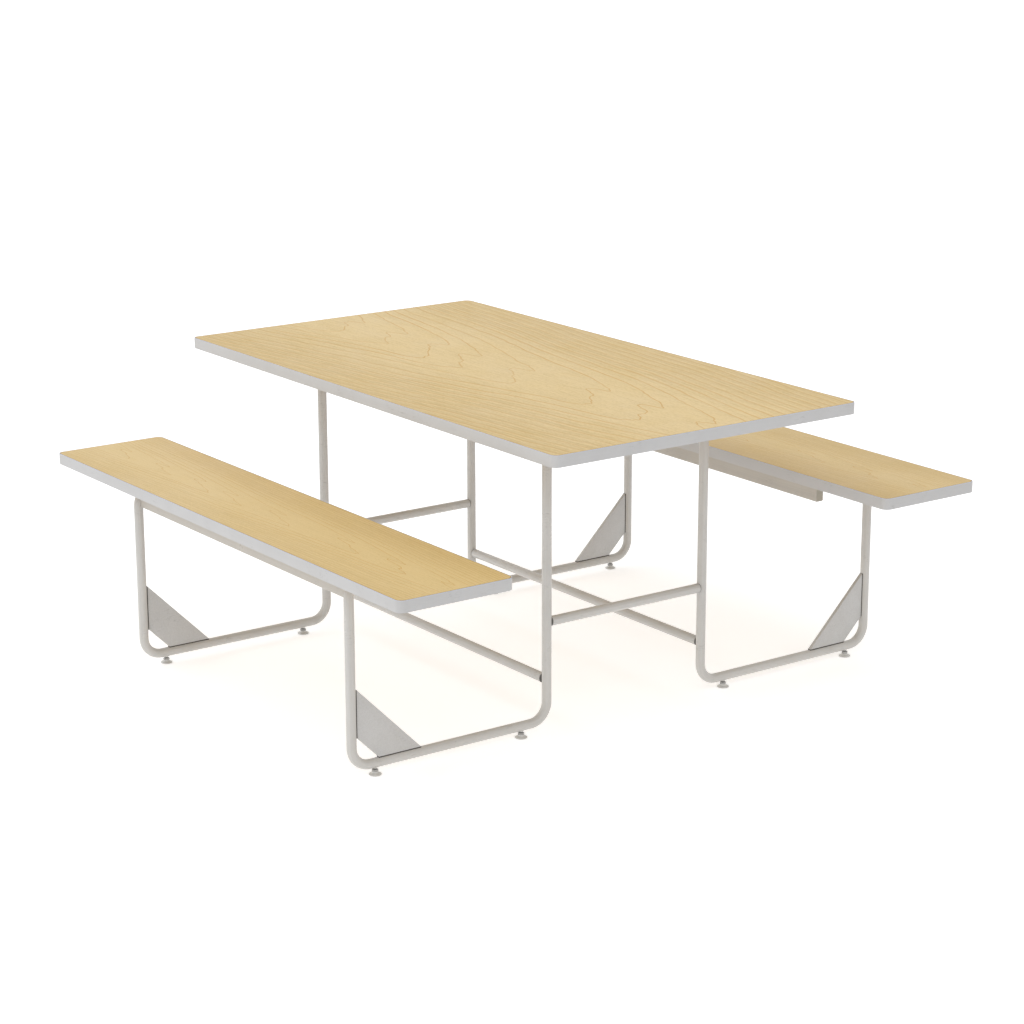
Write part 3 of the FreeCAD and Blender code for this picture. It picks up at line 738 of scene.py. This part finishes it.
def rounded_rectangle(bm, low, high, corner):
    """A flat face at the lower corner's height, with round corners."""
    sheet = bmesh.ops.create_grid(bm, x_segments=1, y_segments=1, size=0.5)["verts"]
    bmesh.ops.scale(bm, verts=sheet, vec=(high.x - low.x, high.y - low.y, 1.0))
    bmesh.ops.translate(bm, verts=sheet, vec=((low.x + high.x) / 2, (low.y + high.y) / 2, low.z))
    bmesh.ops.bevel(bm, geom=sheet, offset=corner, offset_type="OFFSET", affect="VERTICES",
                    segments=CORNER_STEPS, profile=0.5, material=-1, clamp_overlap=True)
    return bm.faces[:]


def raise_faces(bm, faces, height):
    made = bmesh.ops.extrude_face_region(bm, geom=faces)["geom"]
    bmesh.ops.translate(bm, verts=[item for item in made if isinstance(item, bmesh.types.BMVert)],
                        vec=(0.0, 0.0, height))
    point_outwards(bm)


def rim_edges(bm, height):
    """Edges between a level face at that height and an upright one."""
    found = []
    for edge in bm.edges:
        level = all(abs(vert.co.z - height) < 0.01 * MM for vert in edge.verts)
        if level and edge.calc_face_angle(0.0) > math.radians(60):
            found.append(edge)
    return found


print("corner of", CORNER_STEPS, "steps")

# %% Laminate sheets
TRIM_SLANT = 0.45 * MM


def make_sheet(board):
    low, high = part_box(board + "_laminate")
    bm = bmesh.new()
    raise_faces(bm, rounded_rectangle(bm, low, high, BOARD_CORNER - BAND_THICKNESS), high.z - low.z)
    bevel_edges(bm, rim_edges(bm, high.z), TRIM_SLANT, 1)
    return finish_piece(board + "_maple_sheet", bm, "frame", "maple_laminate", laminates[board],
                        board + "_laminate")


for board in BOARDS:
    sheet = make_sheet(board)
    print(sheet.name, len(sheet.data.polygons), "faces")

# %% Edge bands
BAND_ROUNDING = 0.7 * MM
BAND_INNER_EASE = 0.25 * MM
JOINT_WIDTH = 0.5 * MM
JOINT_DEPTH = 0.3 * MM
JOINT_PLACE = 0.31           # share of the board's width from its middle


def make_band(board):
    low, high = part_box(board + "_edge_band")
    bm = bmesh.new()
    outline = rounded_rectangle(bm, low, high, BOARD_CORNER)
    bmesh.ops.inset_region(bm, faces=outline, thickness=BAND_THICKNESS, use_boundary=True, use_even_offset=True)
    bmesh.ops.delete(bm, geom=outline, context="FACES")
    raise_faces(bm, bm.faces[:], high.z - low.z)
    inner_x = high.x - BAND_THICKNESS / 2
    middle, inner_y = (low.y + high.y) / 2, (high.y - low.y - BAND_THICKNESS) / 2
    rims = {True: [], False: []}
    for height in (low.z, high.z):
        for edge in rim_edges(bm, height):
            spot = (edge.verts[0].co + edge.verts[1].co) / 2
            rims[rim_depth_of(spot, high.x, (high.y - low.y) / 2, middle) < BAND_THICKNESS / 2].append(edge)
    bevel_edges(bm, rims[True], BAND_ROUNDING, 4)
    bevel_edges(bm, [edge for edge in rims[False] if edge.is_valid and edge.verts[0].co.z > high.z - 0.01 * MM],
                BAND_INNER_EASE, 2)
    cut_joint(bm, low.x, middle + JOINT_PLACE * (high.y - low.y))
    return finish_piece(board + "_band", bm, "frame", "edge_band", bands[board], board + "_edge_band")


def rim_depth_of(spot, half_length, half_width, middle):
    """How far a point lies inside the board's outline."""
    over = [abs(spot.x) - half_length + BOARD_CORNER, abs(spot.y - middle) - half_width + BOARD_CORNER]
    return BOARD_CORNER - math.hypot(max(over[0], 0.0), max(over[1], 0.0)) - min(max(over), 0.0)


def cut_joint(bm, rear_x, joint_y):
    """A fine V groove down the rear face where the band's two ends meet."""
    for shift in (-JOINT_WIDTH / 2, 0.0, JOINT_WIDTH / 2):
        near = [face for face in bm.faces if face.calc_center_median().x < rear_x + 2 * BAND_THICKNESS]
        edges = list({edge for face in near for edge in face.edges})
        verts = list({vert for face in near for vert in face.verts})
        bmesh.ops.bisect_plane(bm, geom=near + edges + verts, plane_co=(0.0, joint_y + shift, 0.0),
                               plane_no=(0.0, 1.0, 0.0))
    for vert in bm.verts:
        if abs(vert.co.y - joint_y) < 0.01 * MM and vert.co.x < rear_x + BAND_THICKNESS / 2:
            vert.co.x += JOINT_DEPTH


for board in BOARDS:
    band = make_band(board)
    print(band.name, len(band.data.polygons), "faces")

# %% [markdown]
# ## Bent tubes
#
# One tube runs from below the bench, down the bench leg, along the floor, up the table leg and in under
# the table. It could be a curve with a round bevel, but a curve's bends are not true arcs. Here a ring of
# edges is pulled along each straight run and spun round each corner, as the tube itself was bent round
# a die. The skin then gets its wall with solidify, and the cut ends are eased a little.

# %% Rings pulled along a route
TUBE_FACETS = 56
BEND_STEPS = 14
END_EASE = 0.35 * MM


def start_ring(bm, place, along, radius):
    turn = along.to_track_quat("Z", "Y").to_matrix().to_4x4()
    ring = bmesh.ops.create_circle(bm, segments=TUBE_FACETS, radius=radius, matrix=Matrix.Translation(place) @ turn)
    return list({edge for vert in ring["verts"] for edge in vert.link_edges})


def pull_ring(bm, edges, shift):
    made = bmesh.ops.extrude_edge_only(bm, edges=edges)["geom"]
    verts = {item for item in made if isinstance(item, bmesh.types.BMVert)}
    bmesh.ops.translate(bm, verts=list(verts), vec=shift)
    return [edge for edge in bm.edges if edge.verts[0] in verts and edge.verts[1] in verts]


def turn_ring(bm, edges, centre, axis):
    verts = list({vert for edge in edges for vert in edge.verts})
    made = bmesh.ops.spin(bm, geom=verts + edges, cent=centre, axis=axis, angle=math.pi / 2,
                          steps=BEND_STEPS, use_duplicate=False)["geom_last"]
    return [item for item in made if isinstance(item, bmesh.types.BMEdge)]


def tube_along(bm, points, radius, wall):
    """A hollow tube with its ends cut square, bent round each corner of the route."""
    here = points[0]
    edges = start_ring(bm, here, (points[1] - here).normalized(), radius)
    for before, corner, after in zip(points, points[1:], points[2:]):
        back = (before - corner).normalized()
        on = (after - corner).normalized()
        edges = pull_ring(bm, edges, corner + back * BEND_RADIUS - here)
        edges = turn_ring(bm, edges, corner + (back + on) * BEND_RADIUS, on.cross(back))
        here = corner + on * BEND_RADIUS
    pull_ring(bm, edges, points[-1] - here)
    point_outwards(bm)
    bmesh.ops.solidify(bm, geom=bm.faces[:], thickness=wall)
    mouths = [edge for edge in bm.edges if edge.calc_face_angle(0.0) > math.radians(80)]
    bevel_edges(bm, mouths, END_EASE, 2)


print("tube of", TUBE_FACETS, "facets,", BEND_STEPS, "steps a bend")

# %% Leg tubes
def leg_route(end, side):
    x = end * FRAME_X
    return [Vector((x, side * ARM_END_Y, SEAT_ARM_Z)), Vector((x, side * BENCH_LEG_Y, SEAT_ARM_Z)),
            Vector((x, side * BENCH_LEG_Y, RUN_Z)), Vector((x, side * TABLE_LEG_Y, RUN_Z)),
            Vector((x, side * TABLE_LEG_Y, TABLE_ARM_Z)), Vector((x, 0.0, TABLE_ARM_Z))]


for end_name, end in ENDS:
    for side_name, side in SIDES:
        corner_name = end_name + "_" + side_name
        bm = bmesh.new()
        tube_along(bm, leg_route(end, side), TUBE_RADIUS, TUBE_WALL)
        leg = finish_piece(corner_name + "_bent_tube", bm, "frame", "frame_paint", finishes["leg_paint"],
                           corner_name + "_leg_tube")
        print(leg.name, len(leg.data.polygons), "faces")

# %% Stretchers
def stretcher_ends(node):
    """The middle of each end of a stretcher, which lies along the longest side of its box."""
    low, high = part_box(node)
    middle = (low + high) / 2
    reach = (high - low) / 2
    if reach.x > reach.y:
        return middle - Vector((reach.x, 0, 0)), middle + Vector((reach.x, 0, 0))
    return middle - Vector((0, reach.y, 0)), middle + Vector((0, reach.y, 0))


for node in ("front_cross_stretcher", "rear_cross_stretcher", "left_long_stretcher", "right_long_stretcher"):
    bm = bmesh.new()
    tube_along(bm, list(stretcher_ends(node)), TUBE_RADIUS, TUBE_WALL)
    paint = finishes["cross_bar_paint" if "cross" in node else "frame_paint"]
    bar = finish_piece(node.replace("stretcher", "bar"), bm, "frame", "frame_paint", paint, node)
    print(bar.name, len(bar.data.polygons), "faces")

# %% [markdown]
# ## Rails and gusset plates
#
# The rails under the boards are rectangular tube. A rolled tube has round long edges outside and in, so
# the outline is a rounded rectangle whose edges are pulled along the rail and given their wall. The
# gussets are plates sawn from bar: an outline of four points, raised to its thickness, with every edge
# broken by a file.

# %% Rails
RAIL_WALL = 1.6 * MM
RAIL_CORNER = 2.5 * MM
RAIL_NODES = [node for node in frame["nodes"] if node.endswith("_rail")]


def make_rail(node):
    low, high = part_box(node)
    bm = bmesh.new()
    outline = rounded_rectangle(bm, Vector((low.z, low.y, 0.0)), Vector((high.z, high.y, 0.0)), RAIL_CORNER)
    bmesh.ops.delete(bm, geom=outline, context="FACES_ONLY")
    # the outline was drawn lying down, with Z in the place of X, and is turned up to face along the rail
    bmesh.ops.rotate(bm, verts=bm.verts, cent=(0, 0, 0), matrix=Matrix.Rotation(-math.pi / 2, 3, "Y"))
    bmesh.ops.translate(bm, verts=bm.verts, vec=(low.x, 0.0, 0.0))
    pull_ring(bm, bm.edges[:], Vector((high.x - low.x, 0.0, 0.0)))
    point_outwards(bm)
    bmesh.ops.solidify(bm, geom=bm.faces[:], thickness=RAIL_WALL)
    return finish_piece(node + "_tube", bm, "frame", "frame_paint", finishes["rail_paint"], node)


for node in sorted(RAIL_NODES):
    rail = make_rail(node)
    print(rail.name, len(rail.data.polygons), "faces")

# %% Gusset plates
GUSSET_CUT_SHARE = 54 / 163  # of the plate's leg, how much the cut-off corner takes
FILED_EDGE = 0.8 * MM


def make_gusset(end_name, side_name, side):
    node = end_name + "_" + side_name + "_gusset"
    low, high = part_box(node)
    leg = high.z - low.z
    near_y, far_y = (high.y, low.y) if side > 0 else (low.y, high.y)
    bm = bmesh.new()
    cut = leg * GUSSET_CUT_SHARE
    outline = [(low.x, near_y, low.z + cut), (low.x, near_y, high.z), (low.x, far_y, low.z),
               (low.x, near_y - side * cut, low.z)]
    face = bm.faces.new([bm.verts.new(point) for point in outline])
    made = bmesh.ops.extrude_face_region(bm, geom=[face])["geom"]
    bmesh.ops.translate(bm, verts=[item for item in made if isinstance(item, bmesh.types.BMVert)],
                        vec=(high.x - low.x, 0.0, 0.0))
    point_outwards(bm)
    bevel_edges(bm, bm.edges[:], FILED_EDGE, 2)
    return finish_piece(end_name + "_" + side_name + "_corner_plate", bm, "frame", "frame_paint",
                        finishes["shaded_plate_paint"], node)


for end_name, end in ENDS:
    for side_name, side in SIDES:
        plate = make_gusset(end_name, side_name, side)
        print(plate.name, len(plate.data.polygons), "faces")

# %% [markdown]
# ## Levelling glides
#
# A glide has two moving pieces. The foot is a turned disc with a cone and a collar, made by spinning its
# half outline once round. The screw has a hexagon for the spanner and an M8 thread. A thread is a
# helix: its half outline is spun many times round and raised by one pitch each turn, so each turn's top
# meets the next one's foot. Flat cuts then trim it to length.

# %% Glide feet
FOOT_STEPS = 64
FOOT_EASE = 0.3 * MM
# half outline of the foot, from the middle of its underside out and up: (radius, height) in mm
FOOT_OUTLINE = ((0.0, 0.4), (10.5, 0.4), (11.2, 0.0), (13.3, 0.0), (14.3, 1.0), (14.3, 2.4), (13.4, 3.2),
                (11.6, 3.7), (9.4, 4.9), (8.2, 5.9), (7.0, 6.2), (7.0, 7.5), (6.5, 8.0), (3.1, 8.0),
                (3.1, 3.0), (0.0, 3.0))


def spin_outline(bm, centre, outline):
    verts = [bm.verts.new(centre + Vector((radius * MM, 0.0, height * MM))) for radius, height in outline]
    edges = [bm.edges.new(pair) for pair in zip(verts, verts[1:])]
    bmesh.ops.spin(bm, geom=verts + edges, cent=centre, axis=(0, 0, 1), angle=2 * math.pi, steps=FOOT_STEPS,
                   use_merge=True, use_duplicate=False)
    point_outwards(bm)


def glide_centre(name):
    low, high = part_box(name + "_glide_foot")
    return Vector(((low.x + high.x) / 2, (low.y + high.y) / 2, low.z))


def make_foot(name):
    bm = bmesh.new()
    spin_outline(bm, glide_centre(name), FOOT_OUTLINE)
    sharp = [edge for edge in bm.edges if edge.calc_face_angle(0.0) > math.radians(24)]
    bevel_edges(bm, sharp, FOOT_EASE, 2)
    return finish_piece(name + "_foot_disc", bm, name + "_foot", "zinc_plate", finishes["zinc_plate"],
                        name + "_glide_foot")


GLIDES = [node[:-len("_glide_foot")] for node in sorted(frame["nodes"]) if node.endswith("_glide_foot")]
for name in GLIDES:
    disc = make_foot(name)
print(len(GLIDES), "feet,", len(disc.data.polygons), "faces each")

# %% Levelling screws
PITCH = 1.25 * MM
THREAD_STEPS = 28
THREAD_DEPTH = 0.68 * MM
THREAD_RADIUS = 3.95 * MM
THREAD_MERGE = 0.03 * MM
PIVOT_RADIUS = 3.0 * MM
HEX_HALF_FLATS = 6.5 * MM
HEX_HEIGHT = 5.0 * MM
FOOT_HEIGHT = 8.0 * MM
HEX_SIDE_CUTS = 7


def add_thread(bm, centre, bottom, top):
    """A V thread between two heights: one pitch of outline, spun up a helix and trimmed flat."""
    flat = PITCH / 8
    root = THREAD_RADIUS - THREAD_DEPTH
    outline = ((root, 0.0), (root, 2 * flat), (THREAD_RADIUS, PITCH / 2 - flat / 2 + flat),
               (THREAD_RADIUS, PITCH / 2 + flat / 2 + flat), (root, PITCH))
    start = centre + Vector((0.0, 0.0, bottom - PITCH))
    verts = [bm.verts.new(start + Vector((radius, 0.0, height))) for radius, height in outline]
    edges = [bm.edges.new(pair) for pair in zip(verts, verts[1:])]
    turns = math.ceil((top - bottom) / PITCH) + 1
    bmesh.ops.spin(bm, geom=verts + edges, cent=centre, axis=(0, 0, 1), dvec=(0, 0, PITCH / THREAD_STEPS),
                   angle=2 * math.pi * turns, steps=THREAD_STEPS * turns, use_duplicate=False)
    for height, outward in ((bottom, -1), (top, 1)):
        bmesh.ops.bisect_plane(bm, geom=bm.verts[:] + bm.edges[:] + bm.faces[:],
                               plane_co=centre + Vector((0.0, 0.0, height)), plane_no=(0, 0, outward),
                               clear_outer=True)
    bmesh.ops.remove_doubles(bm, verts=bm.verts, dist=THREAD_MERGE)
    middle = centre.z + (bottom + top) / 2
    for above in (False, True):
        rim = [edge for edge in bm.edges if edge.is_boundary and (edge.verts[0].co.z > middle) == above]
        bmesh.ops.triangle_fill(bm, edges=rim, use_beauty=True)


def add_hexagon(bm, centre, bottom, top):
    """A hexagon whose upper corners are turned off in a cone, as on a nut."""
    corner = HEX_HALF_FLATS / math.cos(math.pi / 6)
    place = Matrix.Translation(centre + Vector((0.0, 0.0, bottom))) @ Matrix.Rotation(math.pi / 2, 4, "Z")
    ring = bmesh.ops.create_circle(bm, segments=6, radius=corner, cap_ends=False, matrix=place)["verts"]
    sides = list({edge for vert in ring for edge in vert.link_edges})
    bmesh.ops.subdivide_edges(bm, edges=sides, cuts=HEX_SIDE_CUTS)
    floor_edges = bm.edges[:]
    upper = pull_ring(bm, floor_edges, Vector((0.0, 0.0, top - bottom)))
    land = HEX_HALF_FLATS - 0.3 * MM
    inner = pull_ring(bm, upper, Vector((0.0, 0.0, 0.0)))
    for vert in {vert for edge in inner for vert in edge.verts}:
        flat_spot = Vector((vert.co.x - centre.x, vert.co.y - centre.y, 0.0))
        vert.co.xy = (centre + flat_spot.normalized() * land).xy
    for vert in {vert for edge in upper for vert in edge.verts}:
        radius = math.hypot(vert.co.x - centre.x, vert.co.y - centre.y)
        vert.co.z -= (radius - land) * math.tan(math.radians(30))
    bmesh.ops.holes_fill(bm, edges=inner, sides=0)
    bmesh.ops.holes_fill(bm, edges=floor_edges, sides=0)


def make_screw(name):
    centre = glide_centre(name)
    screw_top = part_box(name + "_glide_stem")[1].z - centre.z
    pivot_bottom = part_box(name + "_glide_stem")[0].z - centre.z
    bm = bmesh.new()
    add_thread(bm, centre, FOOT_HEIGHT + HEX_HEIGHT, screw_top)
    hexagon = bmesh.new()
    add_hexagon(hexagon, centre, FOOT_HEIGHT, FOOT_HEIGHT + HEX_HEIGHT)
    merge_into(bm, hexagon)
    bmesh.ops.create_cone(bm, cap_ends=True, segments=40, radius1=PIVOT_RADIUS, radius2=PIVOT_RADIUS,
                          depth=FOOT_HEIGHT - pivot_bottom,
                          matrix=Matrix.Translation(centre + Vector((0, 0, (FOOT_HEIGHT + pivot_bottom) / 2))))
    bmesh.ops.recalc_face_normals(bm, faces=bm.faces)
    return finish_piece(name + "_screw", bm, name + "_stem", "zinc_plate", finishes["shaded_screw_zinc"],
                        name + "_glide_stem")


def merge_into(bm, other):
    """Copies one bmesh into another."""
    carrier = bpy.data.meshes.new("carrier")
    other.to_mesh(carrier)
    other.free()
    bm.from_mesh(carrier)
    bpy.data.meshes.remove(carrier)


for name in GLIDES:
    screw = make_screw(name)
print(len(GLIDES), "screws,", len(screw.data.polygons), "faces each")

# %% [markdown]
# ## Floor, light and camera
#
# A plain pale floor carries the table. Seen by the camera or in a reflection it is lit up to white, with
# a faint shadow left, so the part stands in front of a white ground. For every other ray it is plain pale
# paint that throws soft light back up. The world is white and gets gradually brighter towards the left and
# a little towards the front, as in a tent of cloth with its larger lamps on those sides. An upright tube
# is then paler on its left than on its right, with no hard shadow. Lamps of the same size would give
# shadows with edges. A wide lamp that lies on the floor and shines up stands for the
# light that a white studio floor sends to the undersides of things.

# %% Floor
FLOOR_RADIUS = 30.0
FLOOR_PAINT = (0.90, 0.90, 0.90, 1.0)
FLOOR_GLOW = 0.46


def make_floor():
    bm = bmesh.new()
    bmesh.ops.create_circle(bm, cap_ends=True, segments=96, radius=FLOOR_RADIUS)
    mesh = bpy.data.meshes.new("floor")
    bm.to_mesh(mesh)
    bm.free()
    floor = bpy.data.objects.new("floor", mesh)
    bpy.context.scene.collection.objects.link(floor)
    material, tree, shader = new_material("floor_paint", roughness=0.9, specular=0.0)
    speckle = noise(tree, object_point(tree), scale=40.0, detail=3.0)
    colour = blend_colours(tree, speckle, FLOOR_PAINT, (0.88, 0.88, 0.88, 1.0))
    tree.links.new(colour, shader.inputs["Base Color"])
    path = tree.nodes.new("ShaderNodeLightPath")
    seen = calc(tree, "MAXIMUM", calc(tree, "MAXIMUM", path.outputs["Is Camera Ray"], path.outputs["Is Glossy Ray"]),
                path.outputs["Is Transmission Ray"])
    tree.links.new(calc(tree, "MULTIPLY", seen, FLOOR_GLOW), shader.inputs["Emission Strength"])
    shader.inputs["Emission Color"].default_value = (1.0, 1.0, 1.0, 1.0)
    mesh.materials.append(material)
    return floor


make_floor()
print("floor", 2 * FLOOR_RADIUS, "m across")

# %% World and lamp
WORLD_LEVEL = 0.655
# where the tent is brighter: direction, and how much is added there
BRIGHT_SIDES = (((-0.583, -0.812, 0.0), 0.65), ((0.574, -0.412, 0.707), 0.31))
FILL_ENERGY = 6.8


def make_world():
    world = bpy.data.worlds.new("studio")
    bpy.context.scene.world = world
    world.use_nodes = True
    tree = world.node_tree
    path = tree.nodes.new("ShaderNodeLightPath")
    seen = calc(tree, "MAXIMUM", calc(tree, "MAXIMUM", path.outputs["Is Camera Ray"], path.outputs["Is Glossy Ray"]),
                path.outputs["Is Transmission Ray"])
    direction = tree.nodes.new("ShaderNodeTexCoord").outputs["Generated"]
    level = WORLD_LEVEL
    for side, added in BRIGHT_SIDES:
        facing = tree.nodes.new("ShaderNodeVectorMath")
        facing.operation = "DOT_PRODUCT"
        put(tree, facing.inputs[0], direction)
        put(tree, facing.inputs[1], side)
        lobe = calc(tree, "MULTIPLY", calc(tree, "MAXIMUM", facing.outputs["Value"], 0.0), added)
        level = calc(tree, "ADD", lobe, level)
    background = tree.nodes["Background"]
    background.inputs["Color"].default_value = (1.0, 1.0, 1.0, 1.0)
    tree.links.new(remap(tree, seen, 0.0, 1.0, level, 1.0), background.inputs["Strength"])


def make_lamp(name, place, aim, width, height, energy):
    lamp = bpy.data.lights.new(name, "AREA")
    lamp.shape = "RECTANGLE"
    lamp.size = width
    lamp.size_y = height
    lamp.energy = energy
    holder = bpy.data.objects.new(name, lamp)
    bpy.context.scene.collection.objects.link(holder)
    holder.location = place
    holder.rotation_euler = (Vector(aim) - Vector(place)).to_track_quat("-Z", "Y").to_euler()
    return holder


make_world()
floor_fill = make_lamp("floor_fill", (0.0, 0.0, 2 * MM), (0.0, 0.0, 1.0), 2.8, 2.8, FILL_ENERGY)
floor_fill.visible_camera = False
bpy.context.scene.view_settings.view_transform = "Standard"
print("world", WORLD_LEVEL, "and more from", len(BRIGHT_SIDES), "sides, floor lamp", FILL_ENERGY, "W")

# %% Camera
CAMERA_PLACE = Vector((4.9509, -3.5372, 2.0403))
CAMERA_TURN = math.radians(54.32)
CAMERA_RISE = math.radians(15.323)
CAMERA_ROLL = math.radians(-0.14)
CAMERA_LENS = 92.18


def make_camera():
    data = bpy.data.cameras.new("camera")
    data.sensor_width = 36.0
    data.lens = CAMERA_LENS
    camera = bpy.data.objects.new("camera", data)
    bpy.context.scene.collection.objects.link(camera)
    back = Vector((math.sin(CAMERA_TURN) * math.cos(CAMERA_RISE),
                   -math.cos(CAMERA_TURN) * math.cos(CAMERA_RISE), math.sin(CAMERA_RISE)))
    level = Vector((math.cos(CAMERA_TURN), math.sin(CAMERA_TURN), 0.0))
    upright = back.cross(level)
    right = level * math.cos(CAMERA_ROLL) + upright * math.sin(CAMERA_ROLL)
    up = upright * math.cos(CAMERA_ROLL) - level * math.sin(CAMERA_ROLL)
    camera.matrix_world = Matrix.Translation(CAMERA_PLACE) @ Matrix((right, up, back)).transposed().to_4x4()
    bpy.context.scene.camera = camera
    return camera


make_camera()
print("camera", [round(v, 2) for v in CAMERA_PLACE])
